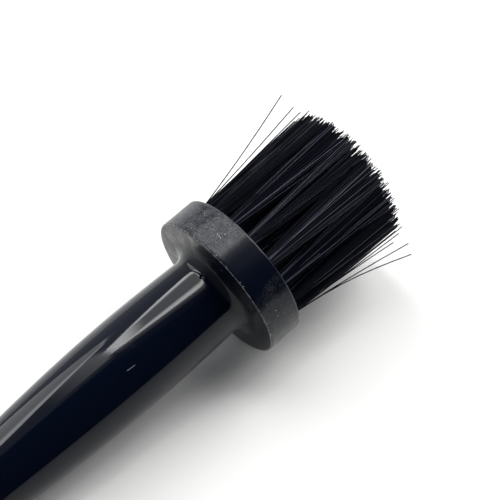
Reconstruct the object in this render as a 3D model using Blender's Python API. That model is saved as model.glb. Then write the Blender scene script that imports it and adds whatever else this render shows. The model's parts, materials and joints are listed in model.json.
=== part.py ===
"""Nut and bolt brush: a round-headed hand brush whose tufts stand in a ring round an open centre.

The handle and its thick round head are one moulding. Each tuft is a bundle of filaments folded
round a flat steel anchor and driven into a blind hole in the head's face. The model is drawn on
the brush's own axis, with the centre of the head's face at its zero and +X towards the tips.
It is then laid down as it rests on a table, on the head's back edge and the end of the tail.
"""
import math
import random

import bmesh
import bpy
from mathutils import Matrix, Vector

MM = 0.001

# Clearances and small working values
FIT_GAP = 0.3 * MM
CUT_OVERRUN = 2.0 * MM
WELD_DISTANCE = 0.001 * MM
SHARP_ANGLE = math.radians(30.0)

# Head, the thick round flange that carries the tufts
HEAD_RADIUS = 26.0 * MM
HEAD_THICKNESS = 12.4 * MM
HEAD_EDGE_ROUND = 0.8 * MM
NECK_FILLET = 3.6 * MM
HEAD_SEGMENTS = 32
ROUND_STEPS = 3
FILLET_STEPS = 6

# Handle, with distances measured back from the head's back face
NECK_RADIUS = 14.05 * MM
BELLY_RADIUS = 14.9 * MM
BELLY_DISTANCE = 34.0 * MM
TAIL_RADIUS = 9.0 * MM
TAPER_DISTANCE = 150.0 * MM
HANDLE_LENGTH = 166.0 * MM
TAIL_CORNER = 3.0 * MM
BELLY_STEPS = 5
TAPER_STEPS = 16
CORNER_STEPS = 5

# Flattened tail with its hanging hole
TAB_THICKNESS = 10.0 * MM
TAB_LENGTH = 20.0 * MM
TAB_RUN_OUT_RADIUS = 60.0 * MM
RUN_OUT_STEPS = 8
HANG_HOLE_RADIUS = 4.2 * MM
HANG_HOLE_SETBACK = 10.5 * MM
HANG_HOLE_CHAMFER = 0.7 * MM
HANG_HOLE_SEGMENTS = 24

# Tuft holes and their layout on the head's face
TUFT_RADIUS = 2.2 * MM
RIM_LEDGE = 3.2 * MM
RING_PITCH = 6.5 * MM
RING_TURN = math.radians(15.0)
HOLE_FLOOR = 2.8 * MM
SLOT_WALL = 1.5 * MM
HOLE_SEGMENTS = 16

# Anchors, the flat steel strips that hold the folded tufts
ANCHOR_BITE = 0.45 * MM
ANCHOR_HEIGHT = 2.0 * MM
FOLD_THICKNESS = 1.4 * MM
FOLD_ROUND = 0.7 * MM

# Bristles, with each modelled strand standing for a few filaments
BRISTLE_LENGTH = 46.0 * MM
BRISTLE_UNEVENNESS = 1.2 * MM
STRAND_INSET = 0.06 * MM
TIP_FLARE = 1.5 * MM
RECESS_FLARE = 0.6 * MM
TIP_GAP = 0.6 * MM
TIP_WANDER = 0.12 * MM
BUNDLE_SIDES = 12
SEED = 7

# Places worked out from the sizes above
HANDLE_END = -(HEAD_THICKNESS + HANDLE_LENGTH)
HOLE_DEPTH = HEAD_THICKNESS - HOLE_FLOOR
PLUG_DEPTH = HOLE_DEPTH - FIT_GAP
HOLE_RADIUS = (TUFT_RADIUS + FIT_GAP) / math.cos(math.pi / HOLE_SEGMENTS)
BUNDLE_SIDE_WIDTH = 2 * TUFT_RADIUS * math.sin(math.pi / BUNDLE_SIDES)
ANCHOR_THICKNESS = BUNDLE_SIDE_WIDTH - 2 * FIT_GAP
ANCHOR_LENGTH = 2 * (TUFT_RADIUS + FIT_GAP + ANCHOR_BITE)
ANCHOR_BOTTOM = PLUG_DEPTH - FOLD_THICKNESS - FIT_GAP
SLOT_DEPTH = ANCHOR_BOTTOM + FIT_GAP
SLOT_LENGTH = ANCHOR_LENGTH + 2 * FIT_GAP
LEAST_SPACING = SLOT_LENGTH + SLOT_WALL
OUTER_RING_RADIUS = HEAD_RADIUS - RIM_LEDGE - TUFT_RADIUS
INNER_RING_RADIUS = OUTER_RING_RADIUS - RING_PITCH


def clear_scene():
    for obj in list(bpy.data.objects):
        bpy.data.objects.remove(obj, do_unlink=True)


def plastic(name, colour, roughness, metallic=0.0):
    """Principled material with one colour, used for the plastics and the steel."""
    material = bpy.data.materials.new(name)
    material.use_nodes = True
    shader = material.node_tree.nodes["Principled BSDF"]
    shader.inputs["Base Color"].default_value = (*colour, 1.0)
    shader.inputs["Roughness"].default_value = roughness
    shader.inputs["Metallic"].default_value = metallic
    return material


def object_from(bm, name, material=None):
    """Turn a finished bmesh into a named object, shaded smooth up to the sharp angle."""
    bmesh.ops.recalc_face_normals(bm, faces=bm.faces)
    mesh = bpy.data.meshes.new(name)
    bm.to_mesh(mesh)
    bm.free()
    mesh.shade_smooth()
    mesh.set_sharp_from_angle(angle=SHARP_ANGLE)
    if material is not None:
        mesh.materials.append(material)
    obj = bpy.data.objects.new(name, mesh)
    bpy.context.scene.collection.objects.link(obj)
    return obj


def cut(target, cutter, name):
    """Cut the target with a hidden cutter through a Boolean that stays live."""
    cutter.hide_render = True
    cutter.display_type = "WIRE"
    cutter.parent = target
    boolean = target.modifiers.new(name, "BOOLEAN")
    boolean.operation = "DIFFERENCE"
    boolean.solver = "EXACT"
    boolean.object = cutter


def arc(centre, radius, start, end, steps):
    """Points on a circular arc in the plane of the profile, both ends included."""
    points = []
    for step in range(steps + 1):
        angle = start + (end - start) * step / steps
        points.append((centre[0] + radius * math.cos(angle), centre[1] + radius * math.sin(angle)))
    return points


def lathe(profile, segments):
    """Turn (along, radius) points about X with a flat facet underneath, ends closed flat."""
    bm = bmesh.new()
    verts = [bm.verts.new((along, 0.0, radius)) for along, radius in profile]
    edges = [bm.edges.new(pair) for pair in zip(verts, verts[1:])]
    half_facet = Matrix.Rotation(math.pi / segments, 3, "X")
    bmesh.ops.rotate(bm, verts=verts, matrix=half_facet)
    bmesh.ops.spin(bm, geom=verts + edges, cent=(0, 0, 0), axis=(1, 0, 0), angle=2 * math.pi,
                   steps=segments, use_merge=True)
    bmesh.ops.remove_doubles(bm, verts=bm.verts, dist=WELD_DISTANCE)
    bmesh.ops.holes_fill(bm, edges=bm.edges, sides=segments)
    return bm


def handle_radius(distance):
    """Radius of the grip at a distance behind the head: a quarter sine up to the belly,
    then half a cosine down to the tail, then straight."""
    if distance < BELLY_DISTANCE:
        rise = math.sin(0.5 * math.pi * distance / BELLY_DISTANCE)
        return NECK_RADIUS + (BELLY_RADIUS - NECK_RADIUS) * rise
    taper = min((distance - BELLY_DISTANCE) / (TAPER_DISTANCE - BELLY_DISTANCE), 1.0)
    fall = 0.5 - 0.5 * math.cos(math.pi * taper)
    return BELLY_RADIUS + (TAIL_RADIUS - BELLY_RADIUS) * fall


def handle_profile():
    """Half outline of head and grip, from the face's rim round to the end of the tail."""
    back = -HEAD_THICKNESS
    rim_centre = HEAD_RADIUS - HEAD_EDGE_ROUND
    front_edge = arc((-HEAD_EDGE_ROUND, rim_centre), HEAD_EDGE_ROUND, 0.0, 0.5 * math.pi, ROUND_STEPS)
    back_edge = arc((back + HEAD_EDGE_ROUND, rim_centre), HEAD_EDGE_ROUND,
                    0.5 * math.pi, math.pi, ROUND_STEPS)
    fillet_foot = handle_radius(NECK_FILLET)
    fillet = arc((back - NECK_FILLET, fillet_foot + NECK_FILLET), NECK_FILLET,
                 0.0, -0.5 * math.pi, FILLET_STEPS)
    grip = []
    for step in range(1, BELLY_STEPS + 1):
        distance = NECK_FILLET + (BELLY_DISTANCE - NECK_FILLET) * step / BELLY_STEPS
        grip.append((back - distance, handle_radius(distance)))
    for step in range(1, TAPER_STEPS + 1):
        distance = BELLY_DISTANCE + (TAPER_DISTANCE - BELLY_DISTANCE) * step / TAPER_STEPS
        grip.append((back - distance, handle_radius(distance)))
    corner = arc((HANDLE_END + TAIL_CORNER, TAIL_RADIUS - TAIL_CORNER), TAIL_CORNER,
                 0.5 * math.pi, math.pi, CORNER_STEPS)
    return front_edge + back_edge + fillet + grip + corner


def tab_flat_cutter():
    """Two blocks above and below the tail. Each leaves a flat that runs out into the round grip
    along an arc."""
    bm = bmesh.new()
    half = TAB_THICKNESS / 2
    clear = BELLY_RADIUS + CUT_OVERRUN
    flat_end = HANDLE_END + TAB_LENGTH
    rise = math.acos(max(1 - (clear - half) / TAB_RUN_OUT_RADIUS, 0.0))
    centre = (flat_end, half + TAB_RUN_OUT_RADIUS)
    run_out = arc(centre, TAB_RUN_OUT_RADIUS, -0.5 * math.pi, -0.5 * math.pi + rise, RUN_OUT_STEPS)
    outline = [(HANDLE_END - CUT_OVERRUN, clear), (HANDLE_END - CUT_OVERRUN, half)] + run_out
    for side in (1.0, -1.0):
        verts = [bm.verts.new((along, -clear, side * height)) for along, height in outline]
        face = bm.faces.new(verts)
        walls = bmesh.ops.extrude_face_region(bm, geom=[face])
        moved = [item for item in walls["geom"] if isinstance(item, bmesh.types.BMVert)]
        bmesh.ops.translate(bm, verts=moved, vec=(0.0, 2 * clear, 0.0))
    return object_from(bm, "tab_flat_cutter")


def hang_hole_cutter():
    """Round cutter across the tab that is flared at both faces, so the hole's edges are eased."""
    half = TAB_THICKNESS / 2
    flare = HANG_HOLE_RADIUS + HANG_HOLE_CHAMFER + CUT_OVERRUN
    profile = [
        (-half - CUT_OVERRUN, flare),
        (-half + HANG_HOLE_CHAMFER, HANG_HOLE_RADIUS),
        (half - HANG_HOLE_CHAMFER, HANG_HOLE_RADIUS),
        (half + CUT_OVERRUN, flare),
    ]
    obj = object_from(lathe(profile, HANG_HOLE_SEGMENTS), "hang_hole_cutter")
    obj.rotation_euler = (0.0, math.pi / 2, 0.0)
    obj.location = (HANDLE_END + HANG_HOLE_SETBACK, 0.0, 0.0)
    return obj


def ring_frames(radius):
    """Frames of one ring of tufts on the head's face: local Z to the tips, local X outwards.
    As many go round as leave a wall between the slots of neighbours, the first a small turn up
    from the side."""
    count = int(2 * math.pi * radius / LEAST_SPACING)
    frames = []
    for index in range(count):
        angle = RING_TURN + 2 * math.pi * index / count
        outwards = Vector((0.0, math.cos(angle), math.sin(angle)))
        tips = Vector((1.0, 0.0, 0.0))
        frame = Matrix((outwards, tips.cross(outwards), tips)).transposed().to_4x4()
        frame.translation = outwards * radius
        frames.append(frame)
    return frames


def hole_cutter(frames):
    """All the round blind holes as one cutter."""
    bm = bmesh.new()
    for frame in frames:
        middle = Matrix.Translation((0.0, 0.0, (CUT_OVERRUN - HOLE_DEPTH) / 2))
        bmesh.ops.create_cone(bm, cap_ends=True, segments=HOLE_SEGMENTS, radius1=HOLE_RADIUS,
                              radius2=HOLE_RADIUS, depth=HOLE_DEPTH + CUT_OVERRUN,
                              matrix=frame @ middle)
    return object_from(bm, "hole_cutter")


def slot_cutter(frames):
    """All the anchor slots, which run from the face down both sides of each hole."""
    bm = bmesh.new()
    size = (BUNDLE_SIDE_WIDTH, SLOT_LENGTH, SLOT_DEPTH + CUT_OVERRUN)
    for frame in frames:
        middle = Matrix.Translation((0.0, 0.0, (CUT_OVERRUN - SLOT_DEPTH) / 2))
        bmesh.ops.create_cube(bm, size=1.0, matrix=frame @ middle @ Matrix.Diagonal((*size, 1.0)))
    return object_from(bm, "slot_cutter")


def make_handle(frames, material):
    """Head and grip as one moulding, with the tuft holes and the flattened tail cut into it."""
    handle = object_from(lathe(handle_profile(), HEAD_SEGMENTS), "handle", material)
    cut(handle, hole_cutter(frames), "tuft_holes")
    cut(handle, slot_cutter(frames), "anchor_slots")
    cut(handle, tab_flat_cutter(), "tab_flats")
    cut(handle, hang_hole_cutter(), "hang_hole")
    return handle


def bundle_cells(bm):
    """Top of a tuft's root as a disc of small triangles. Returns the 18 that grow a strand, which
    touch each other only at corners."""
    turn = Matrix.Rotation(math.pi / BUNDLE_SIDES, 4, "Z")
    bmesh.ops.create_circle(bm, cap_ends=True, cap_tris=True, segments=BUNDLE_SIDES // 2,
                            radius=TUFT_RADIUS, matrix=turn)
    split = bmesh.ops.subdivide_edges(bm, edges=bm.edges[:], cuts=1, use_grid_fill=True)
    middles = {item for item in split["geom_inner"] if isinstance(item, bmesh.types.BMVert)}
    for vert in bm.verts:
        if vert.is_boundary:
            vert.co = vert.co.normalized() * TUFT_RADIUS
    return [face for face in bm.faces if not middles.issuperset(face.verts)]


def extend_down(bm, rim, height, radius):
    """Carry a rim of edges down to a height and radius. Returns the new rim and the side faces."""
    grown = bmesh.ops.extrude_edge_only(bm, edges=rim)["geom"]
    verts = [item for item in grown if isinstance(item, bmesh.types.BMVert)]
    faces = [item for item in grown if isinstance(item, bmesh.types.BMFace)]
    for vert in verts:
        flat = Vector((vert.co.x, vert.co.y, 0.0)).normalized() * radius
        vert.co = (flat.x, flat.y, height)
    lower = [item for item in grown if isinstance(item, bmesh.types.BMEdge) and item.is_boundary]
    return lower, faces


def bundle_root(bm):
    """Folded root below the disc: a drum with a window through it where the anchor lies, and a
    rounded fold under that."""
    rim = [edge for edge in bm.edges if edge.is_boundary]
    window_top = -(ANCHOR_BOTTOM - ANCHOR_HEIGHT - FIT_GAP)
    window_bottom = -SLOT_DEPTH
    rim, _ = extend_down(bm, rim, window_top, TUFT_RADIUS)
    rim, band = extend_down(bm, rim, window_bottom, TUFT_RADIUS)
    rim, _ = extend_down(bm, rim, -(PLUG_DEPTH - FOLD_ROUND), TUFT_RADIUS)
    rim, _ = extend_down(bm, rim, -PLUG_DEPTH, TUFT_RADIUS - FOLD_ROUND)
    bmesh.ops.holes_fill(bm, edges=rim, sides=BUNDLE_SIDES)
    openings = [pick(band, key=lambda face: face.calc_center_median().y) for pick in (min, max)]
    window_edges = [edge for face in openings for edge in face.edges]
    bmesh.ops.delete(bm, geom=openings, context="FACES_ONLY")
    bmesh.ops.bridge_loops(bm, edges=window_edges)


def grow_strands(bm, cells, ring_radius, tip_band, side_reach, chance):
    """Draw each cell in a little and pull it out to a strand. The strands fan from the hole until
    the tuft fills its share of the ring at the tips, so none of them cross."""
    lean = (tip_band[0] + tip_band[1]) / 2 - ring_radius
    fan_out = (tip_band[1] - tip_band[0]) / 2 / TUFT_RADIUS
    fan_side = side_reach / TUFT_RADIUS
    bmesh.ops.inset_individual(bm, faces=cells, thickness=STRAND_INSET)
    strands = bmesh.ops.extrude_discrete_faces(bm, faces=cells)["faces"]
    for tip in strands:
        root = tip.calc_center_median()
        shift = Vector((
            lean + root.x * (fan_out - 1.0) + chance.uniform(-TIP_WANDER, TIP_WANDER),
            root.y * (fan_side - 1.0) + chance.uniform(-TIP_WANDER, TIP_WANDER),
            BRISTLE_LENGTH - chance.uniform(0.0, BRISTLE_UNEVENNESS),
        ))
        bmesh.ops.translate(bm, verts=tip.verts, vec=shift)


def make_tuft(name, frame, ring_radius, tip_band, side_reach, material, chance):
    """One folded bundle of filaments, set in its hole."""
    bm = bmesh.new()
    cells = bundle_cells(bm)
    bundle_root(bm)
    grow_strands(bm, cells, ring_radius, tip_band, side_reach, chance)
    tuft = object_from(bm, name, material)
    tuft.matrix_local = frame
    return tuft


def make_anchor(name, frame, material):
    """Flat steel strip that lies through the fold, with both ends in the slots of the head."""
    bm = bmesh.new()
    size = (ANCHOR_THICKNESS, ANCHOR_LENGTH, ANCHOR_HEIGHT)
    bmesh.ops.create_cube(bm, size=1.0, matrix=Matrix.Diagonal((*size, 1.0)))
    anchor = object_from(bm, name, material)
    anchor.matrix_local = frame @ Matrix.Translation((0.0, 0.0, ANCHOR_HEIGHT / 2 - ANCHOR_BOTTOM))
    return anchor


def make_ring(label, frames, ring_radius, tip_band, bristle, steel, chance):
    """The tufts and anchors of one ring, numbered round it."""
    parts = []
    tip_radius = (tip_band[0] + tip_band[1]) / 2
    side_reach = math.pi * tip_radius / len(frames) - TIP_GAP / 2
    for number, frame in enumerate(frames, start=1):
        tuft_name = f"tuft_{label}_{number:02d}"
        parts.append(make_tuft(tuft_name, frame, ring_radius, tip_band, side_reach, bristle, chance))
        parts.append(make_anchor(f"anchor_{label}_{number:02d}", frame, steel))
    return parts


def lower_hull(points):
    """The points that a level line under the shape could touch, from tail to head."""
    hull = []
    for point in sorted(points):
        while len(hull) > 1:
            (x0, z0), (x1, z1) = hull[-2:]
            if (x1 - x0) * (point[1] - z0) > (z1 - z0) * (point[0] - x0):
                break
            hull.pop()
        hull.append(point)
    return hull


def rest_line(handle):
    """The two points in side view that the brush stands on: the hull edge under its middle."""
    bpy.context.view_layer.update()
    shape = handle.evaluated_get(bpy.context.evaluated_depsgraph_get()).to_mesh()
    hull = lower_hull([(vert.co.x, vert.co.z) for vert in shape.vertices])
    middle = HANDLE_END / 2
    return next(pair for pair in zip(hull, hull[1:]) if pair[1][0] > middle)


def lay_down(parts, handle):
    """Hang every part on one empty, turned so that the brush lies on its two rest points, with the
    bottom centre of its box at the origin."""
    (tail_x, tail_z), (head_x, head_z) = rest_line(handle)
    rest = bpy.data.objects.new("rest_pose", None)
    bpy.context.scene.collection.objects.link(rest)
    for part in parts:
        part.parent = rest
    rest.rotation_euler = (0.0, math.atan2(head_z - tail_z, head_x - tail_x), 0.0)
    bpy.context.view_layer.update()
    reach = [(part.matrix_world @ vert.co).x for part in parts for vert in part.data.vertices]
    floor = (rest.matrix_world @ Vector((head_x, 0.0, head_z))).z
    rest.location = (-(min(reach) + max(reach)) / 2, 0.0, -floor)


def main():
    clear_scene()
    chance = random.Random(SEED)
    black_gloss = plastic("black_gloss_plastic", (0.012, 0.012, 0.014), 0.22)
    black_filament = plastic("black_filament", (0.015, 0.016, 0.020), 0.38)
    anchor_steel = plastic("anchor_steel", (0.56, 0.56, 0.55), 0.35, 1.0)
    outer = ring_frames(OUTER_RING_RADIUS)
    inner = ring_frames(INNER_RING_RADIUS)
    between = (OUTER_RING_RADIUS + INNER_RING_RADIUS) / 2
    outer_band = (between + TIP_GAP / 2, OUTER_RING_RADIUS + TUFT_RADIUS + TIP_FLARE)
    inner_band = (INNER_RING_RADIUS - TUFT_RADIUS - RECESS_FLARE, between - TIP_GAP / 2)
    handle = make_handle(outer + inner, black_gloss)
    parts = [handle]
    parts += make_ring("outer", outer, OUTER_RING_RADIUS, outer_band, black_filament, anchor_steel, chance)
    parts += make_ring("inner", inner, INNER_RING_RADIUS, inner_band, black_filament, anchor_steel, chance)
    lay_down(parts, handle)


main()
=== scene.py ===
import functools
import json
import math

import bpy
import numpy as np
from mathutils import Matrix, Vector


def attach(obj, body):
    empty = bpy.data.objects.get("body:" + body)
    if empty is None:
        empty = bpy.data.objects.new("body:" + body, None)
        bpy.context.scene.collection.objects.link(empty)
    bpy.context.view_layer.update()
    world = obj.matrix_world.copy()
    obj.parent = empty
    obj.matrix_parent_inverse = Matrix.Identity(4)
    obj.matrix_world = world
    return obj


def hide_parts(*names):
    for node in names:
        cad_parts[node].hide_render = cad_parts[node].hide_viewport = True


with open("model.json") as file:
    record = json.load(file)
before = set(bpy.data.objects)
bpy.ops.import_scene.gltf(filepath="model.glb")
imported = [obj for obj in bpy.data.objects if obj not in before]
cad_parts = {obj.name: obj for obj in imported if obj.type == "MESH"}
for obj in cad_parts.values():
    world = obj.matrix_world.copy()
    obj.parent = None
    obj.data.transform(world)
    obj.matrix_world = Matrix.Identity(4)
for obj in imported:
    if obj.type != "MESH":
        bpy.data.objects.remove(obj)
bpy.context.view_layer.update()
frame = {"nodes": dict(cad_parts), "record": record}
print("frame: the packed brush is loaded,", len(frame["nodes"]), "nodes")

scene = bpy.context.scene
scene.view_settings.view_transform = "Standard"
mm = 0.001

# Sizes that the whole brush shares, in mm and degrees. On the brush's own axes the middle of the
# head's face is the zero, +X runs to the tips and Z points up from the table.
brush = dict(
    headRadius=26.0, headThickness=12.4, outerRing=20.6, innerRing=14.1, outerCount=16,
    innerCount=11, ringTurn=15.0, holeRadius=2.5, holeDepth=9.6, anchorBottom=7.6,
    anchorThickness=0.54,
)

# The mount on the back of the head says how the brush lies on the table
backMount = next(m for m in frame["record"]["mounts"] if m["name"] == "head_back_face")
tipWard = -np.array(backMount["axis"])
sideWard = np.array([0.0, 1.0, 0.0])
upWard = np.cross(tipWard, sideWard)
backCentre = np.array(backMount["pos_m"]) * [1.0, 0.0, 1.0]
faceCentre = backCentre + tipWard * brush["headThickness"] * mm
restTilt = -math.atan2(tipWard[2], tipWard[0])
brushAxes = np.stack([tipWard, sideWard, upWard])


def onTable(points):
    # brush axes in mm to the table's frame in metres
    return points @ brushAxes * mm + faceCentre


def linearColour(hexCode):
    # sRGB hex to the linear colour that a socket takes
    channels = np.array([int(hexCode[i:i + 2], 16) for i in (1, 3, 5)]) / 255.0
    linear = np.where(channels <= 0.04045, channels / 12.92, ((channels + 0.055) / 1.055) ** 2.4)
    return (*linear.tolist(), 1.0)


def addNode(tree, kind, inputs=(), out=0, **settings):
    # One node with its settings, and a value or a link for each input, which come in order or by
    # name. Gives the output that is asked for, or the node itself when out is None.
    node = tree.nodes.new(kind)
    for name, value in settings.items():
        setattr(node, name, value)
    named = inputs if isinstance(inputs, dict) else dict(enumerate(inputs))
    for name, value in named.items():
        if isinstance(value, bpy.types.NodeSocket):
            tree.links.new(value, node.inputs[name])
        else:
            node.inputs[name].default_value = value
    return node if out is None else node.outputs[out]


def newMaterial(name):
    # a new material, its node tree and its shader
    material = bpy.data.materials.new(name)
    material.use_nodes = True
    tree = material.node_tree
    return material, tree, tree.nodes["Principled BSDF"]


def makeObject(name, points, faces, material, smoothAngle=None):
    # points in metres on the table, faces as lists of point numbers that turn outwards
    mesh = bpy.data.meshes.new(name)
    mesh.from_pydata(points.tolist(), [], faces)
    mesh.validate()
    mesh.shade_smooth()
    if smoothAngle is not None:
        mesh.set_sharp_from_angle(angle=math.radians(smoothAngle))
    mesh.materials.append(material)
    obj = bpy.data.objects.new(name, mesh)
    scene.collection.objects.link(obj)
    return obj


def gridFaces(rows, columns, wrap):
    # quads between neighbouring rows of a grid whose columns close round when wrap is set
    last = columns if wrap else columns - 1
    row, column = np.meshgrid(np.arange(rows - 1), np.arange(last), indexing="ij")
    right = (column + 1) % columns
    quads = np.stack([row * columns + column, row * columns + right,
                      (row + 1) * columns + right, (row + 1) * columns + column], axis=-1)
    return quads.reshape(-1, 4)


# Black polypropylene, injection moulded in a polished tool: deep gloss on the grip that mirrors
# the windows, and a head whose upper side is rubbed and dusty, with pale specks and nicks along
# its back edge. The pale film on the head's side towards the windows is partly dust and partly
# painted sheen, and the pale line along the back edge is partly wear and partly a painted
# highlight. Lengths in mm on the brush's own axes, angles from +Y over the top.
plastic = dict(
    base="#050a17", dustAndSheenColour="#9a9d9c", nickAndHighlight="#d4d8d8", specular=0.26, ior=1.49, headRoughness=0.2,
    rubbedRoughness=0.42, dustAndSheenFilm=0.32, upperSide=(-6.5, -1.5), lowSide=(17.5, 25.5), lowRubAndSheen=0.35,
    # a coordinate, where the look starts and is full on it, and sometimes the look's two ends
    falls=dict(
        head=("along", -16.2, -12.6), rim=("radius", 24.0, 25.6), top=("height", -10.0, 2.0),
        backFace=("side", 8.0, 19.0, 0.0, 0.8), backEdge=("along", -11.2, -12.0),
        rimEdge=("radius", 25.2, 25.6), wornHighlightBack=("along", -11.0, -12.0)),
    # the noise's size, detail and roughness, the span that is used, and the span it becomes
    noises=dict(
        upperWaver=(5.0, 3.0, 0.5, 0.2, 0.8, -5.0, 5.0),
        lowWaver=(5.0, 3.0, 0.5, 0.2, 0.8, -3.0, 3.0),
        patch=(4.4, 4.0, 0.6, 0.32, 0.66, 0.2, 1.0), grain=(0.55, 2.0, 0.6, 0.3, 0.75, 0.0, 1.0),
        drift=(6.0, 2.0, 0.5, 0.42, 0.6, 0.0, 1.0), nickRuns=(3.0, 2.0, 0.5, 0.4, 0.55, 0.0, 1.0),
        wornHighlightNoise=(1.1, 3.0, 0.5, 0.36, 0.6, 0.04, 0.32),
        smudge=(24.0, 3.0, 0.5, 0.3, 0.7, 0.048, 0.078)),
    # spacing, the share of cells with a speck, and its largest size as a share of the spacing.
    # The smallest is a share of the largest.
    specks=dict(dots=(0.75, 0.35, 0.2), nicks=(0.6, 0.45, 0.24)), leastSpeck=0.35,
    # depths where the pale back edge, partly wear and partly a painted highlight, starts and is
    # full, and the grip's radius where it is marked
    wornHighlightLine=(0.42, 0.24), arcRadius=14.9,
    scratch=dict(behind=39.2, angle=122.2, skew=0.07, strength=0.5, acrossFade=(0.1, 0.0),
                 forwardFade=(1.75, 1.15)),
    scuff=dict(behind=37.4, angle=93.0, skew=0.45, strength=0.12, acrossFade=(2.6, 1.0),
               forwardFade=(4.5, 2.25), lineSize=(20.0, 0.34, 1.0), lineDetail=1.0,
               lineSpan=(0.55, 0.72)),
)


def brushCoordinates(add):
    # On the brush's own axes in mm: along, side and height, the distance from the axis, which is
    # the root of side squared plus height squared, the distance behind the head, and the angle in
    # degrees whose tangent is height over side.
    place = add("ShaderNodeTexCoord", out="Object")
    own = add("ShaderNodeMapping", {
        "Vector": place, "Location": faceCentre.tolist(), "Rotation": (0.0, restTilt, 0.0),
        "Scale": (mm, mm, mm)}, vector_type="TEXTURE")
    along, side, height = add("ShaderNodeSeparateXYZ", (own,), out=None).outputs
    flat = add("ShaderNodeCombineXYZ", (0.0, side, height))
    radius = add("ShaderNodeVectorMath", (flat,), out="Value", operation="LENGTH")
    behind = add("ShaderNodeMath", (-brush["headThickness"], along), operation="SUBTRACT")
    angle = add("ShaderNodeMath", (height, side), operation="ARCTAN2")
    angle = add("ShaderNodeMath", (angle,), operation="DEGREES")
    return dict(own=own, along=along, side=side, height=height, radius=radius, behind=behind,
                angle=angle)


def plasticLooks(add, at, values):
    # Falls and noises are eased between their two ends. A speck is where the distance from a
    # cell's middle is under a size of its own, in the share of cells that have one.
    looks = {}
    for name, (coordinate, *span) in values["falls"].items():
        looks[name] = add("ShaderNodeMapRange", (at[coordinate], *span),
                          interpolation_type="SMOOTHSTEP")
    for name, (size, detail, rough, *span) in values["noises"].items():
        noise = add("ShaderNodeTexNoise", {
            "Vector": at["own"], "Scale": 1.0 / size, "Detail": detail, "Roughness": rough})
        looks[name] = add("ShaderNodeMapRange", (noise, *span), interpolation_type="SMOOTHSTEP")
    for name, (spacing, share, size) in values["specks"].items():
        cells = add("ShaderNodeTexVoronoi", {"Vector": at["own"], "Scale": 1.0 / spacing},
                    out=None)
        channels = add("ShaderNodeSeparateColor", (cells.outputs["Color"],), out=None)
        red, green = channels.outputs[:2]
        limit = add("ShaderNodeMapRange", (green, 0.0, 1.0, size * values["leastSpeck"], size),
                    interpolation_type="SMOOTHSTEP")
        dot = add("ShaderNodeMath", (cells.outputs["Distance"], limit), operation="LESS_THAN")
        some = add("ShaderNodeMath", (red, share), operation="LESS_THAN")
        looks[name] = add("ShaderNodeMath", (dot, some), operation="MULTIPLY")
    return looks


def rubbedAndSheenSides(add, at, looks, values):
    # the rubbed upper side, its border wavering by a few mm, and a patch low on the other side.
    # Both set the roughness and carry the pale film, which is partly dust and partly painted
    # sheen.
    upper = add("ShaderNodeMath", (at["side"], looks["upperWaver"]), operation="ADD")
    upper = add("ShaderNodeMapRange", (upper, *values["upperSide"]),
                interpolation_type="SMOOTHSTEP")
    upper = add("ShaderNodeMath", (upper, looks["top"]), operation="MULTIPLY")
    low = add("ShaderNodeMath", (looks["lowWaver"], at["side"]), operation="SUBTRACT")
    low = add("ShaderNodeMapRange", (low, *values["lowSide"]), interpolation_type="SMOOTHSTEP")
    return upper, low


def headMarks(add, at, looks, upper, low, values):
    # Pale specks in drifts where the rim is rubbed, nicks in runs along its back edge, and the
    # edge itself pale, partly wear and partly a painted highlight, by the larger of the depths
    # below the rim and below the back face.
    drift = add("ShaderNodeMath", (upper, low), operation="MAXIMUM")
    drift = add("ShaderNodeMath", (looks["drift"], drift), operation="MULTIPLY")
    dots = add("ShaderNodeMath", (looks["dots"], drift), operation="MULTIPLY")
    dots = add("ShaderNodeMath", (dots, looks["rim"]), operation="MULTIPLY")
    edge = add("ShaderNodeMath", (looks["backEdge"], looks["rimEdge"]), operation="MULTIPLY")
    edge = add("ShaderNodeMath", (edge, looks["nickRuns"]), operation="MULTIPLY")
    nicks = add("ShaderNodeMath", (looks["nicks"], edge), operation="MULTIPLY")
    # the back edge's pale line, partly wear and partly a painted highlight
    depth = add("ShaderNodeMath", (brush["headRadius"], at["radius"]), operation="SUBTRACT")
    inwards = add("ShaderNodeMath", (at["along"], brush["headThickness"]), operation="ADD")
    depth = add("ShaderNodeMath", (depth, inwards), operation="MAXIMUM")
    wornHighlight = add("ShaderNodeMapRange", (depth, *values["wornHighlightLine"]),
               interpolation_type="SMOOTHSTEP")
    wornHighlight = add("ShaderNodeMath", (wornHighlight, looks["wornHighlightNoise"]), operation="MULTIPLY")
    wornHighlight = add("ShaderNodeMath", (wornHighlight, looks["wornHighlightBack"]), operation="MULTIPLY")
    return [dots, nicks, wornHighlight]


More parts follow.
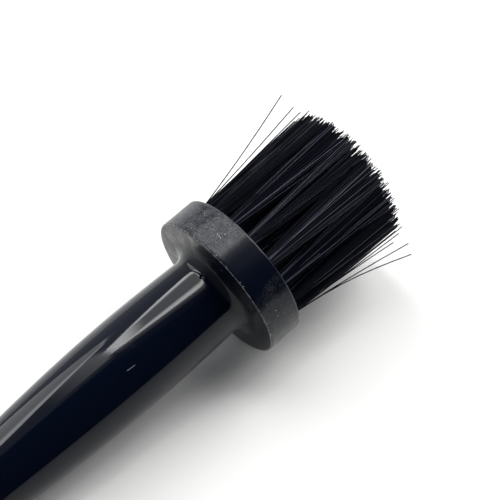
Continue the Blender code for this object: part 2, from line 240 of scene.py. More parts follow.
def gripMarks(add, at, values):
    # One scratch, and a scuff of fine lines. Each fades with the distance from its middle, in mm
    # forward along the grip and across it, where across leans with forward by the skew.
    perDegree = math.radians(1.0) * values["arcRadius"]
    marks = []
    for spot in (values["scratch"], values["scuff"]):
        forward = add("ShaderNodeMath", (at["behind"], spot["behind"]), operation="SUBTRACT")
        across = add("ShaderNodeMath", (at["angle"], spot["angle"]), operation="SUBTRACT")
        across = add("ShaderNodeMath", (across, perDegree), operation="MULTIPLY")
        across = add("ShaderNodeMath", (forward, spot["skew"], across), operation="MULTIPLY_ADD")
        mark = spot["strength"]
        for distance, fade in ((across, spot["acrossFade"]), (forward, spot["forwardFade"])):
            away = add("ShaderNodeMath", (distance,), operation="ABSOLUTE")
            near = add("ShaderNodeMapRange", (away, *fade), interpolation_type="SMOOTHSTEP")
            mark = add("ShaderNodeMath", (near, mark), operation="MULTIPLY")
        if "lineSize" in spot:
            fine = add("ShaderNodeCombineXYZ", (forward, across))
            fine = add("ShaderNodeVectorMath", (fine, spot["lineSize"]), operation="DIVIDE")
            fine = add("ShaderNodeTexNoise", {
                "Vector": fine, "Scale": 1.0, "Detail": spot["lineDetail"]})
            fine = add("ShaderNodeMapRange", (fine, *spot["lineSpan"]),
                       interpolation_type="SMOOTHSTEP")
            mark = add("ShaderNodeMath", (fine, mark), operation="MULTIPLY")
        marks.append(mark)
    return marks


def makePlastic(values):
    material, tree, shader = newMaterial("black_polypropylene")
    add = functools.partial(addNode, tree)
    at = brushCoordinates(add)
    looks = plasticLooks(add, at, values)
    upper, low = rubbedAndSheenSides(add, at, looks, values)
    # rubbed in patches, on the head alone, and more on the upper side than low down. This mask
    # sets the roughness and also places the film's painted sheen.
    rubbedAndSheen = add("ShaderNodeMath", (low, values["lowRubAndSheen"]), operation="MULTIPLY")
    rubbedAndSheen = add("ShaderNodeMath", (upper, rubbedAndSheen), operation="MAXIMUM")
    rubbedAndSheen = add("ShaderNodeMath", (looks["patch"], rubbedAndSheen), operation="MULTIPLY")
    rubbedAndSheen = add("ShaderNodeMath", (rubbedAndSheen, looks["head"]), operation="MULTIPLY")
    # a pale film where it is rubbed, on the rim and on one side of the back face: partly dust and
    # partly painted sheen on the side towards the windows
    cover = add("ShaderNodeMath", (looks["rim"], looks["backFace"]), operation="MAXIMUM")
    dustAndSheenFilm = add("ShaderNodeMath", (rubbedAndSheen, looks["grain"]), operation="MULTIPLY")
    dustAndSheenFilm = add("ShaderNodeMath", (dustAndSheenFilm, values["dustAndSheenFilm"]), operation="MULTIPLY")
    dustAndSheenFilm = add("ShaderNodeMath", (dustAndSheenFilm, cover), operation="MULTIPLY")
    # pale by the strongest mark at each point, among them the back edge's line, which is partly a
    # painted highlight
    pale = 0.0
    for mark in headMarks(add, at, looks, upper, low, values) + gripMarks(add, at, values):
        pale = add("ShaderNodeMath", (mark, pale), operation="MAXIMUM")
    colour = linearColour(values["base"])
    for share, over in ((dustAndSheenFilm, values["dustAndSheenColour"]), (pale, values["nickAndHighlight"])):
        colour = add("ShaderNodeMix", {0: share, 6: colour, 7: linearColour(over)}, out=2,
                     data_type="RGBA")
    tree.links.new(colour, shader.inputs["Base Color"])
    # finger-wide smudges on the grip, and a duller head
    headRough = add("ShaderNodeMix", {
        0: rubbedAndSheen, 2: values["headRoughness"], 3: values["rubbedRoughness"]}, data_type="FLOAT")
    rough = add("ShaderNodeMix", {0: looks["head"], 2: looks["smudge"], 3: headRough},
                data_type="FLOAT")
    tree.links.new(rough, shader.inputs["Roughness"])
    shader.inputs["Specular IOR Level"].default_value = values["specular"]
    shader.inputs["IOR"].default_value = values["ior"]
    return material


# Black nylon filament, extruded and cut to length: satin. A pale bluish grey on some filaments,
# more in some clumps than in others and varying at random, is painted sheen; these are glossier
# as well.
filament = dict(dark="#01030d", pale="#626573", satin=0.25, matt=0.45, specular=0.05, ior=1.53)


def makeFilament(values):
    material, tree, shader = newMaterial("black_nylon_filament")
    # the shade mixes the dark colour towards the pale one, a painted sheen
    shade = addNode(tree, "ShaderNodeAttribute", out="Fac", attribute_name="shade")
    colour = addNode(tree, "ShaderNodeMix", {
        0: shade, 6: linearColour(values["dark"]), 7: linearColour(values["pale"])}, out=2,
        data_type="RGBA")
    tree.links.new(colour, shader.inputs["Base Color"])
    rough = addNode(tree, "ShaderNodeMapRange", {
        "Value": shade, "To Min": values["matt"], "To Max": values["satin"]})
    tree.links.new(rough, shader.inputs["Roughness"])
    shader.inputs["Specular IOR Level"].default_value = values["specular"]
    shader.inputs["IOR"].default_value = values["ior"]
    return material


# Galvanised steel strip, rolled: a grey metal with a fine grain, in mm.
steel = dict(base="#b4b6b6", dull="#8b8d8c", smooth=0.272, rough=0.408, grain=0.12)


def makeSteel(values):
    material, tree, shader = newMaterial("galvanised_steel_strip")
    place = addNode(tree, "ShaderNodeTexCoord", out="Object")
    fine = addNode(tree, "ShaderNodeTexNoise", {
        "Vector": place, "Scale": 1.0 / (values["grain"] * mm)})
    colour = addNode(tree, "ShaderNodeMix", {
        0: fine, 6: linearColour(values["base"]), 7: linearColour(values["dull"])}, out=2,
        data_type="RGBA")
    tree.links.new(colour, shader.inputs["Base Color"])
    rough = addNode(tree, "ShaderNodeMapRange", {
        "Value": fine, "To Min": values["smooth"], "To Max": values["rough"]})
    tree.links.new(rough, shader.inputs["Roughness"])
    shader.inputs["Metallic"].default_value = 1.0
    return material


plasticMaterial = makePlastic(plastic)
filamentMaterial = makeFilament(filament)
steelMaterial = makeSteel(steel)
print("materials: plastic, filament and steel are ready")

# Head and grip, one moulding. Distances in mm, behind the head's back face where they say behind.
handle = dict(
    edgeRound=0.6, backEdgeRound=0.8, neckFillet=4.8, neckRadius=14.05, bellyRadius=14.9,
    bellyBehind=34.0, tailRadius=9.0, taperBehind=150.0, length=166.0, tailCorner=3.0,
    tabThickness=10.0, tabLength=20.0, tabRunOut=60.0, tabReach=60.0, tabEdgeRound=0.6,
    hangHoleRadius=4.2, hangHoleSetback=10.5, hangHoleEase=0.9, slotWidth=0.7, slotLength=6.06,
    slotRoom=0.1, holeEase=0.25, gateBehind=4.1, gateAngle=94.0, gateRadius=1.1, gateDepth=0.33,
    smoothAngle=32.0,
    # rows and columns of the surface, and how far the cutters pass the faces they open
    around=240, support=0.3, edgeSteps=6, rimRows=7, backEdgeSteps=8, faceRows=3,
    faceMargins=(2.0, 0.5), filletSteps=25, gripStart=1.0, gripStep=2.0, tailStep=1.2,
    tailMargin=4.6, cornerSteps=12, holeSides=32, hangHoleSides=48, easeSteps=6, gateSides=32,
    gateSteps=17, gatePole=89.0, pastFace=1.0, pastTab=2.0,
)


def arcPoints(centre, radius, start, end, count):
    # the centre plus the radius times the cosine and the sine, from one angle to another
    turn = np.radians(np.linspace(start, end, count))
    return np.column_stack([centre[0] + radius * np.cos(turn), centre[1] + radius * np.sin(turn)])


def gripRadius(behind, values):
    # a quarter sine from the neck up to the belly, then half a cosine down to the tail
    rise = np.sin(0.5 * np.pi * np.clip(behind / values["bellyBehind"], 0.0, 1.0))
    taper = np.clip((behind - values["bellyBehind"]) /
                    (values["taperBehind"] - values["bellyBehind"]), 0.0, 1.0)
    fall = 0.5 - 0.5 * np.cos(np.pi * taper)
    return (values["neckRadius"] + (values["bellyRadius"] - values["neckRadius"]) * rise
            - (values["bellyRadius"] - values["tailRadius"]) * fall)


def handleOutline(values):
    # half outline (along, radius): rounded front edge, rim, rounded back edge, back face, fillet
    # arc into the neck, grip, and a quarter round at the tail's end
    back, fillet, support = -brush["headThickness"], values["neckFillet"], values["support"]
    edge, backEdge = values["edgeRound"], values["backEdgeRound"]
    rimRadius, backRadius = brush["headRadius"] - edge, brush["headRadius"] - backEdge
    tailEnd, corner = back - values["length"], values["tailCorner"]
    foot = float(gripRadius(fillet, values))
    rimRows, faceRows, faceMargins = values["rimRows"], values["faceRows"], values["faceMargins"]
    rim = np.linspace(-edge - support, back + backEdge + support, rimRows)
    face = np.linspace(backRadius - faceMargins[0], foot + fillet + faceMargins[1], faceRows)
    taper = values["taperBehind"]
    grip = np.concatenate([
        np.arange(fillet + values["gripStart"], taper, values["gripStep"]),
        np.arange(taper, values["length"] - values["tailMargin"], values["tailStep"])])
    return np.concatenate([
        [[0.0, rimRadius - support]],
        arcPoints((-edge, rimRadius), edge, 0.0, 90.0, values["edgeSteps"]),
        np.column_stack([rim, np.full(rimRows, brush["headRadius"])]),
        arcPoints((back + backEdge, backRadius), backEdge, 90.0, 180.0, values["backEdgeSteps"]),
        [[back, backRadius - support]],
        np.column_stack([np.full(faceRows, back), face]),
        arcPoints((back - fillet, foot + fillet), fillet, 0.0, -90.0, values["filletSteps"]),
        np.column_stack([back - grip, gripRadius(grip, values)]),
        arcPoints((tailEnd + corner, values["tailRadius"] - corner), corner, 90.0, 180.0,
                  values["cornerSteps"]),
    ])


def handleSurface(values):
    # The outline turned about X, then pressed flat above and below the tail: the height becomes
    # the softened smaller of itself and the tab's half thickness, which grows along an arc where
    # the flats run out into the round grip. Past the tab's reach the height is left alone.
    outline = handleOutline(values)
    turn = 2.0 * np.pi * np.arange(values["around"]) / values["around"]
    along = np.repeat(outline[:, :1], values["around"], axis=1)
    side = outline[:, 1:] * np.cos(turn)
    height = outline[:, 1:] * np.sin(turn)
    tailEnd = -brush["headThickness"] - values["length"]
    pastFlat = np.clip(along - (tailEnd + values["tabLength"]), 0.0, values["tabRunOut"])
    half = values["tabThickness"] / 2 + values["tabRunOut"] - np.sqrt(
        values["tabRunOut"] ** 2 - pastFlat ** 2)
    soft = values["tabEdgeRound"]
    size = np.abs(height)
    pressed = 0.5 * (size + half - np.sqrt((size - half) ** 2 + soft ** 2))
    pressed = np.sign(height) * np.minimum(size, pressed)
    height = np.where(along < tailEnd + values["tabReach"], pressed, height)
    return np.stack([along, side, height], axis=-1)


def turnedSolid(outline, around):
    # Closed solid of (radius, height) points turned about Z, by the radius times the cosine and
    # the sine of the turn. Returns its points, its quads and its two end faces.
    turn = 2.0 * np.pi * np.arange(around) / around
    points = np.stack([outline[:, :1] * np.cos(turn), outline[:, :1] * np.sin(turn),
                       np.repeat(outline[:, 1:], around, axis=1)], axis=-1)
    ring = np.arange(around)
    ends = np.stack([ring[::-1], (len(outline) - 1) * around + ring])
    return points.reshape(-1, 3), gridFaces(len(outline), around, True), ends


def ringAngles(count):
    # even steps of a whole turn, from the ring's own turn on
    return math.radians(brush["ringTurn"]) + 2.0 * np.pi * np.arange(count) / count


def tuftFrames(radius, count):
    # rows are outwards, round the ring and to the tips, with the hole's middle last
    turn = ringAngles(count)
    zero = np.zeros(count)
    outwards = np.stack([zero, np.cos(turn), np.sin(turn)], axis=-1)
    around = np.stack([zero, -np.sin(turn), np.cos(turn)], axis=-1)
    tips = np.stack([zero + 1.0, zero, zero], axis=-1)
    return np.stack([outwards, around, tips, outwards * radius], axis=1)


def manyOf(points, frames):
    # one solid's points repeated at each tuft frame, and what each copy adds to point numbers
    placed = np.einsum("pi,fij->fpj", points, frames[:, :3]) + frames[:, None, 3]
    shift = np.arange(len(frames))[:, None, None] * len(points)
    return placed.reshape(-1, 3), shift


def cutAway(target, name, points, faces):
    # takes a hidden solid, with its points on the brush's axes, away from the target's mesh
    cutter = makeObject(name, onTable(points), faces, target.data.materials[0])
    boolean = target.modifiers.new(name, "BOOLEAN")
    boolean.operation = "DIFFERENCE"
    boolean.solver = "EXACT"
    boolean.object = cutter
    bpy.context.view_layer.update()
    done = target.evaluated_get(bpy.context.evaluated_depsgraph_get())
    cut = bpy.data.meshes.new_from_object(done)
    target.modifiers.clear()
    old = target.data
    target.data = cut
    cut.name = old.name + "_cut"
    bpy.data.meshes.remove(old)
    bpy.data.objects.remove(cutter)


def cutTuftHoles(target, values):
    # drilled holes with an eased mouth, and slits that the anchors press into the walls
    frames = np.concatenate([tuftFrames(brush["outerRing"], brush["outerCount"]),
                             tuftFrames(brush["innerRing"], brush["innerCount"])])
    ease, past, wide = values["holeEase"], values["pastFace"], brush["holeRadius"]
    hole = np.array([[wide, -brush["holeDepth"]], [wide, -ease], [wide + ease + past, past]])
    points, quads, ends = turnedSolid(hole, values["holeSides"])
    placed, shift = manyOf(points, frames)
    faces = (quads[None] + shift).reshape(-1, 4).tolist()
    faces += (ends[None] + shift).reshape(-1, values["holeSides"]).tolist()
    cutAway(target, "holeCutter", placed, faces)
    corners = np.array([[x, y, z] for z in (-brush["anchorBottom"] - values["slotRoom"], past)
                        for x, y in ((-1, -1), (1, -1), (1, 1), (-1, 1))], float)
    corners *= [values["slotWidth"] / 2, values["slotLength"] / 2, 1.0]
    box = np.array([[3, 2, 1, 0], [4, 5, 6, 7], [0, 1, 5, 4], [1, 2, 6, 5], [2, 3, 7, 6],
                    [3, 0, 4, 7]])
    placed, shift = manyOf(corners, frames)
    cutAway(target, "slitCutter", placed, (box[None] + shift).reshape(-1, 4).tolist())


def cutHangHole(target, values):
    # through the tab from above, its edges eased by quarter rounds
    half, ease = values["tabThickness"] / 2, values["hangHoleEase"]
    middle, past = values["hangHoleRadius"] + ease, values["pastTab"]
    upper = arcPoints((middle, half - ease), ease, 180.0, 90.0, values["easeSteps"])
    lower = arcPoints((middle, ease - half), ease, 270.0, 180.0, values["easeSteps"])
    outline = np.concatenate([[[middle, -half - past]], lower, upper, [[middle, half + past]]])
    points, quads, ends = turnedSolid(outline, values["hangHoleSides"])
    along = -brush["headThickness"] - values["length"] + values["hangHoleSetback"]
    cutAway(target, "hangHoleCutter", points + [along, 0.0, 0.0], quads.tolist() + ends.tolist())


def cutGatePit(target, values):
    # the small pit that the moulding gate left in the fillet
    ball = arcPoints((0.0, 0.0), values["gateRadius"], -values["gatePole"], values["gatePole"],
                     values["gateSteps"])
    points, quads, ends = turnedSolid(ball, values["gateSides"])
    angle = math.radians(values["gateAngle"])
    foot = float(gripRadius(values["neckFillet"], values))
    away = foot + values["gateRadius"] - values["gateDepth"]
    gate = np.array([-brush["headThickness"] - values["gateBehind"], away * math.cos(angle),
                     away * math.sin(angle)])
    cutAway(target, "gateCutter", points + gate, quads.tolist() + ends.tolist())


def makeHandle(values, material):
    # the surface closed by a face at each end, with its holes, slits and pit cut out
    surface = handleSurface(values)
    rows, columns = surface.shape[:2]
    faces = gridFaces(rows, columns, True).tolist()
    faces.append(list(range(columns))[::-1])
    faces.append([(rows - 1) * columns + column for column in range(columns)])
    obj = makeObject("handle_moulding", onTable(surface.reshape(-1, 3)), faces, material)
    cutTuftHoles(obj, values)
    cutHangHole(obj, values)
    cutGatePit(obj, values)
    obj.data.shade_smooth()
    obj.data.set_sharp_from_angle(angle=math.radians(values["smoothAngle"]))
    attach(obj, "root")
    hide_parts("handle")
    return len(obj.data.polygons)


print("handle:", makeHandle(handle, plasticMaterial), "faces")

# Tufts of folded filaments, in mm. Every filament goes down one side of its anchor, round under
# it and up the other side, so it is one tube with two cut ends.
tuft = dict(
    # the filaments, their rows in the hole, and the fold under the anchor
    diameter=0.3, fineDiameter=0.2, sides=5, reach=2.06, columnSpacing=0.255, rowSpacing=0.3,
    rowReach=8, rootGap=0.02, rootJitter=0.015, foldDepth=1.35, foldSetback=0.4,
    foldTurns=(-45.0, -90.0, -135.0),
    # the tips: each ring's band, how far they reach, and how they are cut short and aslant
    outerBand=(17.0, 24.4), innerBand=(11.2, 17.4), longest=47.4, unevenness=2.0,
    shortParts=(0.6, 0.4), shortPower=1.6, trim=(0.03, 0.03),
    # how a tuft fans out, and how its filaments wander, cross and bow on the way
    pathShares=(1.0, 0.76, 0.54, 0.34, 0.17, 0.06, 0.0), overlap=1.1, fanPower=1.15,
    closeGap=0.08, wander=0.38, bow=0.22, crossing=0.04, crossingReach=1.6,
    spill=((-1.2, -1.2), (1.1, 1.4)),
    # the clumps that tips draw together in, and the tones, from dark to pale, the pale ones a
    # painted sheen
    clumps=26, clumpReach=0.95, clumping=0.2, brightShare=0.18, brightTone=(0.3, 1.0),
    darkTone=(0.0, 0.05), clumpTone=(0.55, 1.0), smoothAngle=50.0, seed=7,
)


def loopRoots(values):
    # half of the legs: hexagonal rows in the half disc on one side of the anchor
    first = brush["anchorThickness"] / 2 + values["diameter"] / 2 + values["rootGap"]
    columns = np.arange(first, values["reach"], values["columnSpacing"])
    rows = np.arange(-values["rowReach"], values["rowReach"] + 1) * values["rowSpacing"]
    x, y = np.meshgrid(columns, rows, indexing="ij")
    y = y + (np.arange(len(columns)) % 2)[:, None] * values["rowSpacing"] / 2
    keep = x ** 2 + y ** 2 < values["reach"] ** 2
    return np.stack([x[keep], y[keep]], axis=-1)


def squareFromDisc(disc):
    # Spreads a disc evenly over a square: the distance from the middle becomes the larger side
    # coordinate, and the angle from that side's middle becomes the other in proportion.
    x, y = disc[:, 0], disc[:, 1]
    distance = np.hypot(x, y)
    wide = np.abs(x) >= np.abs(y)
    major = np.where(wide, x, y)
    minor = np.where(wide, y, x)
    first = np.sign(major) * distance
    second = distance * (4.0 / np.pi) * np.arctan2(minor, np.abs(major))
    return np.stack([np.where(wide, first, second), np.where(wide, second, first)], axis=-1)


def tubes(paths, guide, diameter, sides):
    # Tubes along many paths at once: each point of a path gets a ring, which is the radius there
    # times the cosine of the turn along the guide direction made square to the path, plus the
    # radius times the sine along the direction square to both. Returns points and faces with both
    # ends closed.
    ahead = np.gradient(paths, axis=1)
    ahead /= np.linalg.norm(ahead, axis=-1, keepdims=True)
    normal = guide - (ahead * guide).sum(axis=-1, keepdims=True) * ahead
    normal /= np.linalg.norm(normal, axis=-1, keepdims=True)
    other = np.cross(ahead, normal)
    turn = 2.0 * np.pi * np.arange(sides)[:, None] / sides
    radius = np.broadcast_to(diameter, paths.shape[:2])[:, :, None, None] / 2
    points = paths[:, :, None] + radius * (
        normal[:, :, None] * np.cos(turn) + other[:, :, None] * np.sin(turn))
    count, length = paths.shape[:2]
    base = np.arange(count)[:, None] * length * sides
    quads = (gridFaces(length, sides, True)[None] + base[:, :, None]).reshape(-1, 4)
    starts = base + np.arange(sides)[::-1]
    ends = base + (length - 1) * sides + np.arange(sides)
    return points.reshape(-1, 3), quads.tolist() + starts.tolist() + ends.tolist()


def filamentObject(name, paths, guide, diameter, shade, values):
    # the tubes as one mesh, with each path point's shade from dark to pale as an attribute, the
    # pale end a painted sheen
    points, faces = tubes(paths, guide, diameter, values["sides"])
    obj = makeObject(name, onTable(points), faces, filamentMaterial, values["smoothAngle"])
    attribute = obj.data.attributes.new("shade", "FLOAT", "POINT")
    shades = np.broadcast_to(shade, paths.shape[:2]).reshape(-1)
    attribute.data.foreach_set("value", np.repeat(shades, values["sides"]).astype(np.float32))
    return obj


def tipPlaces(legs, middleAngle, band, halfTurn, values, chance):
    # the round bundle spreads evenly over its share of the ring, a little at random
    gap = brush["anchorThickness"] / 2 + values["closeGap"]
    closed = np.sign(legs[:, 0]) * (np.abs(legs[:, 0]) - gap) * values["reach"] / (
        values["reach"] - gap)
    disc = np.stack([closed, legs[:, 1]], axis=-1) / values["reach"]
    size = np.maximum(np.hypot(disc[:, 0], disc[:, 1]), 1e-6)[:, None]
    share = squareFromDisc(disc * np.minimum(1.0, 1.0 / size))
    halfBand, middle = (band[1] - band[0]) / 2, (band[0] + band[1]) / 2
    centres = chance.uniform(-values["clumpReach"], values["clumpReach"], (values["clumps"], 2))
    nearest = np.linalg.norm(share[:, None] - centres[None], axis=-1).argmin(axis=1)
    share = share + (centres[nearest] - share) * values["clumping"]
    share = share + chance.normal(0.0, values["wander"] / halfBand, legs.shape)
    wild = (chance.random(len(legs)) < values["crossing"])[:, None]
    share = share + wild * chance.normal(0.0, values["crossingReach"] / halfBand, legs.shape)
    share = np.clip(share, *values["spill"])
    radius = middle + halfBand * share[:, 0]
    angle = middleAngle + halfTurn * values["overlap"] * share[:, 1]
    side, height = radius * np.cos(angle), radius * np.sin(angle)
    # cut a little aslant, and not quite level
    ownPart, clumpPart = values["shortParts"]
    short = (ownPart * chance.random(len(legs)) ** values["shortPower"]
             + clumpPart * chance.random(values["clumps"])[nearest])
    length = (values["longest"] + side * values["trim"][0] + height * values["trim"][1]
              - values["unevenness"] * short)
    return np.stack([length, side, height], axis=-1), nearest


def loopPaths(placed, middleAngle, band, halfTurn, values, chance):
    # Each loop goes from one tip to the other. A leg runs straight outwards and along, while
    # round the ring its distance is one less a power of the share that is left, so a tuft fans
    # out early, and it bows by a sine.
    roots = loopRoots(values)
    roots = roots + chance.normal(0.0, values["rootJitter"], roots.shape)
    count = len(roots)
    legs = np.concatenate([roots, roots * [-1.0, 1.0]])
    tips, clump = tipPlaces(legs, middleAngle, band, halfTurn, values, chance)
    outwards, around, tipWise, hole = placed
    mouth = hole + legs[:, :1] * outwards + legs[:, 1:] * around
    shares = np.array(values["pathShares"])[None, :, None]
    reach = (tips - mouth)[:, None]
    swing = (reach @ around)[..., None] * around
    early = 1.0 - (1.0 - shares) ** values["fanPower"]
    bend = chance.normal(0.0, values["bow"], (len(legs), 1, 3)) * [0.0, 1.0, 1.0]
    leg = (mouth[:, None] + (reach - swing) * shares + swing * early
           + bend * np.sin(np.pi * shares))
    deep = mouth - tipWise * (brush["anchorBottom"] - values["foldSetback"])
    leg = np.concatenate([leg, deep[:, None]], axis=1)
    # under the anchor in half ellipses, one inside the other
    half = values["diameter"] / 2
    first = brush["anchorThickness"] / 2 + half
    outer = (roots[:, :1] - first) / (values["reach"] - first)
    depth = half + values["rootGap"] + outer * (values["foldDepth"] - half)
    turn = np.radians(values["foldTurns"])
    fold = (hole + (roots[:, :1] * np.cos(turn))[..., None] * outwards
            + roots[:, 1:, None] * around
            + (depth * np.sin(turn) - brush["anchorBottom"])[..., None] * tipWise)
    return np.concatenate([leg[:count], fold, leg[count:, ::-1]], axis=1), clump


def loopLooks(clump, length, values, chance):
    # the diameter and the shade at each point of each path: the finer filaments are painted pale
    # as a painted sheen, in some clumps more than in others
    legs = len(clump)
    bright = chance.random(legs) < values["brightShare"]
    brightTone = chance.uniform(*values["brightTone"], legs)
    darkTone = chance.uniform(*values["darkTone"], legs)
    tone = np.where(bright, brightTone, darkTone)
    tone = tone * chance.uniform(*values["clumpTone"], values["clumps"])[clump]
    # a loop takes its first leg's looks up to the fold's middle, and its second leg's past it
    second = np.arange(length) > length // 2
    leg = np.arange(legs // 2)[:, None] + second * (legs // 2)
    return np.where(bright[leg], values["fineDiameter"], values["diameter"]), tone[leg]


def makeTuft(name, node, placed, middleAngle, band, halfTurn, values, chance):
    # its paths and looks, as one object that stands for the tuft's own solid
    paths, clump = loopPaths(placed, middleAngle, band, halfTurn, values, chance)
    diameter, shade = loopLooks(clump, paths.shape[1], values, chance)
    around = placed[1]
    obj = filamentObject(name, paths, around, diameter, shade, values)
    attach(obj, "root")
    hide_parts(node)
    return len(obj.data.polygons)


def makeTufts(values):
    # both rings, each tuft in its own even share of the ring
    chance = np.random.default_rng(values["seed"])
    faces = 0
    rings = (("outer", brush["outerRing"], brush["outerCount"], values["outerBand"]),
             ("inner", brush["innerRing"], brush["innerCount"], values["innerBand"]))
    for label, radius, count, band in rings:
        places = zip(tuftFrames(radius, count), ringAngles(count))
        for number, (placed, angle) in enumerate(places):
            ending = f"{label}_{number + 1:02d}"
            faces += makeTuft("filaments_" + ending, "tuft_" + ending, placed, angle, band,
                              math.pi / count, values, chance)
    return faces


print("tufts:", makeTufts(tuft), "faces")

# Loose filaments that have sprung out of the outer ring, in mm on the brush's axes. Each has its
# tuft's number round the ring, where its tip is, and how far it bows outwards on the way.
loose = dict(
    diameter=0.38, sides=5, steps=8, tone=0.05, rootOut=1.9, rootDepth=6.5, smoothAngle=50.0,
    stray=(
        dict(tuft=2, tip=(42.8, 23.9, 26.4), bow=-0.6),
        dict(tuft=2, tip=(45.1, 21.5, 19.7), bow=-0.3),
        dict(tuft=2, tip=(45.4, 18.6, 19.4), bow=0.0),
        dict(tuft=1, tip=(46.3, 23.0, 9.6), bow=0.2),
        dict(tuft=3, tip=(46.4, 15.2, 22.4), bow=0.3),
        dict(tuft=9, tip=(44.5, -31.9, -10.9), bow=-1.6),
        dict(tuft=9, tip=(45.0, -30.0, -6.8), bow=-0.4),
        dict(tuft=9, tip=(46.1, -24.6, -8.0), bow=0.0),
        dict(tuft=10, tip=(45.8, -22.6, -15.7), bow=-0.4),
        dict(tuft=9, tip=(46.6, -25.5, -3.3), bow=0.3),
        dict(tuft=9, tip=(46.9, -24.2, -3.3), bow=0.3),
    ))


def makeLoose(values):
    # Each path is a straight line from root to tip plus a bow, which is a sine along the line
    frames = tuftFrames(brush["outerRing"], brush["outerCount"])
    share = np.linspace(0.0, 1.0, values["steps"])[None, :, None]
    numbers = np.array([one["tuft"] - 1 for one in values["stray"]])
    tips = np.array([one["tip"] for one in values["stray"]])
    bow = np.array([one["bow"] for one in values["stray"]])[:, None, None]
    placed = frames[numbers]
    lean = tips * [0.0, 1.0, 1.0] - placed[:, 3]
    lean /= np.linalg.norm(lean, axis=-1, keepdims=True)
    mouth = placed[:, 3] + lean * values["rootOut"]
    line = (mouth[:, None] + (tips - mouth)[:, None] * share
            + lean[:, None] * bow * np.sin(np.pi * share))
    deep = (mouth - placed[:, 2] * values["rootDepth"])[:, None]
    paths = np.concatenate([deep, line], axis=1)
    guide = np.cross(lean, placed[:, 2])[:, None]
    obj = filamentObject("filaments_loose", paths, guide, values["diameter"], values["tone"],
                         values)
    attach(obj, "root")


makeLoose(loose)
print("loose filaments:", len(loose["stray"]))

# The anchors keep their own solids and take the steel
for name, node in frame["nodes"].items():
    if name.startswith("anchor"):
        for materialSlot in node.material_slots:
            materialSlot.material = steelMaterial

# Table: white laminate, matt, in metres. It lies a hair under the frame, whose rim is a polygon
# and so a little higher than the round rim here.
floor = dict(halfWidth=6.0, drop=0.00013, colour="#e9e9e7", roughness=0.6)


def makeFloor(values):
    # one square, level
    material, _, shader = newMaterial("white_laminate")
    shader.inputs["Base Color"].default_value = linearColour(values["colour"])
    shader.inputs["Roughness"].default_value = values["roughness"]
    corner, level = values["halfWidth"], -values["drop"]
    points = np.array([[-corner, -corner, level], [corner, -corner, level],
                       [corner, corner, level], [-corner, corner, level]])
    obj = makeObject("table_top", points, [[0, 1, 2, 3]], material)


makeFloor(floor)

# Camera: where it looks and from how far, in mm and degrees
camera = dict(aim=(70.78, 3.2, 26.0), distance=421.15, azimuth=-42.99, elevation=54.57,
              lens=93.6, nearest=10.0)


def makeCamera(values):
    # back from the aim by the distance, along the direction that azimuth and elevation give
    azimuth, elevation = math.radians(values["azimuth"]), math.radians(values["elevation"])
    back = np.array([math.sin(azimuth) * math.cos(elevation),
                     -math.cos(azimuth) * math.cos(elevation), math.sin(elevation)])
    data = bpy.data.cameras.new("camera")
    data.lens = values["lens"]
    data.clip_start = values["nearest"] * mm
    obj = bpy.data.objects.new("camera", data)
    obj.location = (np.array(values["aim"]) + back * values["distance"]) * mm
    obj.rotation_euler = (math.pi / 2 - elevation, 0.0, azimuth)
    scene.collection.objects.link(obj)
    scene.camera = obj


makeCamera(camera)

# Studio, in metres: two windows that the grip mirrors, with a curtain and a sill, and three soft
# keys over the tips' end. A window's edges are its frame's shares of the width and of the height,
# first and last side of each, and the frame has the border's glow.
windows = dict(steps=24, frameFade=(0.6, 1.2), panes=(
    dict(name="window_right", glow=2.7, border=15.0, edges=(0.16, 0.22, 0.05, 0.32),
         corners=((0.235, -0.01, 1.0), (0.4, 1.22, 1.0), (0.04, 0.62, 1.0), (0.03, 0.3, 1.0))),
    dict(name="window_left", glow=3.5, border=9.0, edges=(0.2, 0.03, 0.03, 0.03),
         corners=((0.1, 1.15, 1.0), (0.18, 1.6, 1.0), (-0.14, 2.0, 0.26), (-0.34, 0.48, 1.0))),
    dict(name="curtain", glow=4.6, border=0.4, edges=(0.2, 0.03, 0.01, 1.0),
         corners=((0.035, 0.03, 1.02), (0.05, 1.0, 1.02), (-0.42, 1.35, 1.02),
                  (-0.42, 0.25, 1.02))),
    dict(name="sill", glow=2.5, border=0.1, edges=(0.85, 0.01, 0.01, 0.1),
         corners=((0.25, -0.4, 1.0), (0.25, -0.01, 1.0), (0.02, 0.31, 1.0), (0.02, -0.08, 1.0))),
))
keys = (
    dict(name="key_low", place=(1.12, -0.06, 0.65), size=(1.0, 0.5), power=8.7),
    dict(name="key_high", place=(0.66, -0.03, 1.12), size=(0.45, 0.6), power=5.9),
    dict(name="key_side", place=(0.62, -0.42, 1.0), size=(0.42, 0.42), power=2.6),
)
# The room is light at both ends, paler low on the +Y side and dark elsewhere. Spans are parts of
# a direction of length one.
room = dict(
    ends="#ffffff", tailGlow=0.15, tipsGlow=0.4, turnSpan=(-0.3, 0.3), endSpan=(0.38, 0.65),
    low="#f4f6ff", lowGlow=0.7, lowSpan=(0.15, 0.75), dark="#10131c",
)


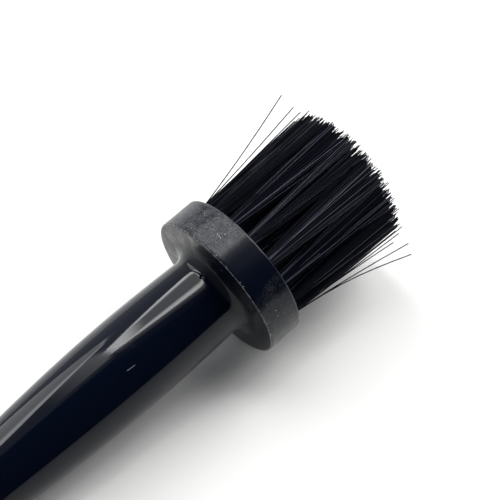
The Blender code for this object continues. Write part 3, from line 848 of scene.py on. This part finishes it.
def makeWindow(pane, values):
    # A bilinear patch between four corners. The distance to each edge is divided by the frame's
    # share there, and the least of the four turns the border's glow into the pane's.
    steps = values["steps"]
    line = np.linspace(0, 1, steps)
    u, v = np.meshgrid(line, line, indexing="ij")
    uv = np.stack([u, v], axis=-1).reshape(-1, 2)
    u, v = u[..., None], v[..., None]
    a, b, c, d = (np.array(corner) for corner in pane["corners"])
    points = (a * (1 - u) + b * u) * (1 - v) + (d * (1 - u) + c * u) * v
    material, tree = newMaterial(pane["name"])[:2]
    tree.nodes.clear()
    add = functools.partial(addNode, tree)
    place = add("ShaderNodeTexCoord", out="UV")
    place = add("ShaderNodeSeparateXYZ", (place,), out=None).outputs[:2]
    shares = []
    for socket, low, high in zip(place, pane["edges"][::2], pane["edges"][1::2]):
        rest = add("ShaderNodeMath", (1.0, socket), operation="SUBTRACT")
        shares.append(add("ShaderNodeMath", (socket, low), operation="DIVIDE"))
        shares.append(add("ShaderNodeMath", (rest, high), operation="DIVIDE"))
    toEdge = shares[0]
    for share in shares[1:]:
        toEdge = add("ShaderNodeMath", (toEdge, share), operation="MINIMUM")
    glow = add("ShaderNodeMapRange",
               (toEdge, *values["frameFade"], pane["border"], pane["glow"]))
    emission = add("ShaderNodeEmission", {"Strength": glow})
    add("ShaderNodeOutputMaterial", {"Surface": emission}, out=None)
    faces = gridFaces(steps, steps, False).tolist()
    obj = makeObject(pane["name"], points.reshape(-1, 3), faces, material)
    layer = obj.data.uv_layers.new(name="UVMap")
    loops = np.empty(len(obj.data.loops), np.int32)
    obj.data.loops.foreach_get("vertex_index", loops)
    layer.data.foreach_set("uv", uv[loops].reshape(-1).astype(np.float32))


def makeKey(values):
    # an area light that faces the brush
    data = bpy.data.lights.new(values["name"], "AREA")
    data.shape = "RECTANGLE"
    data.size, data.size_y = values["size"]
    data.energy = values["power"]
    obj = bpy.data.objects.new(values["name"], data)
    obj.location = values["place"]
    obj.rotation_euler = Vector(values["place"]).to_track_quat("Z", "Y").to_euler()
    scene.collection.objects.link(obj)


def makeRoom(values):
    # glow by direction: the ends where |x| is large, the low +Y side, and dark elsewhere
    world = bpy.data.worlds.new("room")
    world.use_nodes = True
    tree = world.node_tree
    add = functools.partial(addNode, tree)
    direction = add("ShaderNodeTexCoord", out="Generated")
    along, side = add("ShaderNodeSeparateXYZ", (direction,), out=None).outputs[:2]
    gain = add("ShaderNodeMapRange",
               (along, *values["turnSpan"], values["tailGlow"], values["tipsGlow"]))
    ends = add("ShaderNodeMath", (along,), operation="ABSOLUTE")
    ends = add("ShaderNodeMapRange", (ends, *values["endSpan"], 0.0, gain),
               interpolation_type="SMOOTHSTEP")
    low = add("ShaderNodeMapRange", (side, *values["lowSpan"], 0.0, values["lowGlow"]),
              interpolation_type="SMOOTHSTEP")
    glow = add("ShaderNodeEmission", {"Color": linearColour(values["dark"])})
    for colour, strength in ((values["ends"], ends), (values["low"], low)):
        more = add("ShaderNodeEmission", {"Color": linearColour(colour), "Strength": strength})
        glow = add("ShaderNodeAddShader", (glow, more))
    tree.links.new(glow, tree.nodes["World Output"].inputs["Surface"])
    scene.world = world


for pane in windows["panes"]:
    makeWindow(pane, windows)
for key in keys:
    makeKey(key)
makeRoom(room)
print("studio: floor, camera and lights are set")
